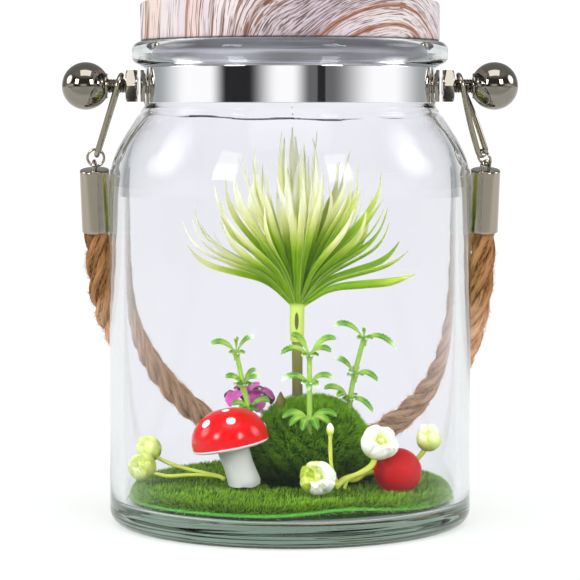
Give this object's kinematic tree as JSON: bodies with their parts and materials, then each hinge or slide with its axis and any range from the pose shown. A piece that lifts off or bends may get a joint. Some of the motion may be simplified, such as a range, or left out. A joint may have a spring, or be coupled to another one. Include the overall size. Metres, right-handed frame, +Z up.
{
  "type": "glass plant terrarium",
  "caption": "Lidded glass jar on a flat foot with a rope handle on its neck band, holding a small artificial garden of grass tuft, moss, sprigs, mushroom, berry and buds.",
  "frame": {"origin": "centre of the foot, on the surface the jar stands on", "axes": "+Z up, +X towards the right-hand knob, -Y towards the front, rope handle hanging behind at +Y"},
  "size_m": [0.126, 0.108, 0.1435],
  "materials": {
    "glass": "clear thick glass with a faint green tint",
    "printed_wood": "whitewashed wood grain with brown lines, satin",
    "silicone": "translucent grey silicone",
    "polished_steel": "mirror polished",
    "nickel": "polished nickel, slightly warm",
    "jute": "hairy twisted jute",
    "turf": "flocked grass pile on a bright green backing",
    "moss": "fine moss pile, darker at the foot",
    "dark_stem": "olive brown",
    "tuft_green": "deep green at the root, cream at the tips",
    "leaf_green": "satin green with pale tips",
    "petal_purple": "magenta cloth petals",
    "pale_stalk": "pale green",
    "foam_white": "smooth painted foam",
    "cap_red": "glossy red paint with white spots",
    "berry_red": "satin red",
    "stem_green": "yellow green",
    "bud_white": "creamy white with yellow-green folds"
  },
  "bodies": {
    "planted_jar": {"jar": "glass", "stopper": "printed_wood", "seal_ring": "silicone", "neck_band": "polished_steel", "turf": "turf", "moss_mound": "moss", "tuft_stem": "dark_stem", "tuft_head": "tuft_green", "sprig_left": "leaf_green", "sprig_centre": "leaf_green", "sprig_right": "leaf_green", "purple_flower": "petal_purple", "flower_stalk": "pale_stalk", "shoot": "dark_stem", "mushroom_stem": "foam_white", "mushroom_cap": "cap_red", "berry": "berry_red", "spray_right": "stem_green", "spray_left": "stem_green", "bud_front": "bud_white", "bud_tiny": "bud_white", "bud_right_inner": "bud_white", "bud_right_outer": "bud_white", "bud_left_low": "bud_white", "bud_left_high": "bud_white", "stud_left": "polished_steel", "nut_left": "polished_steel", "knob_left": "polished_steel", "stud_right": "polished_steel", "nut_right": "polished_steel", "knob_right": "polished_steel"},
    "handle": {"rope": "jute", "hook_left": "nickel", "jump_ring_left": "nickel", "ferrule_left": "nickel", "hook_right": "nickel", "jump_ring_right": "nickel", "ferrule_right": "nickel"}
  },
  "joints": [
    {"name": "handle_swing", "type": "hinge", "parent": "planted_jar", "child": "handle", "pos_m": [0, 0, 0.1205], "axis": [1, 0, 0], "range_deg": [0, 300]}
  ]
}
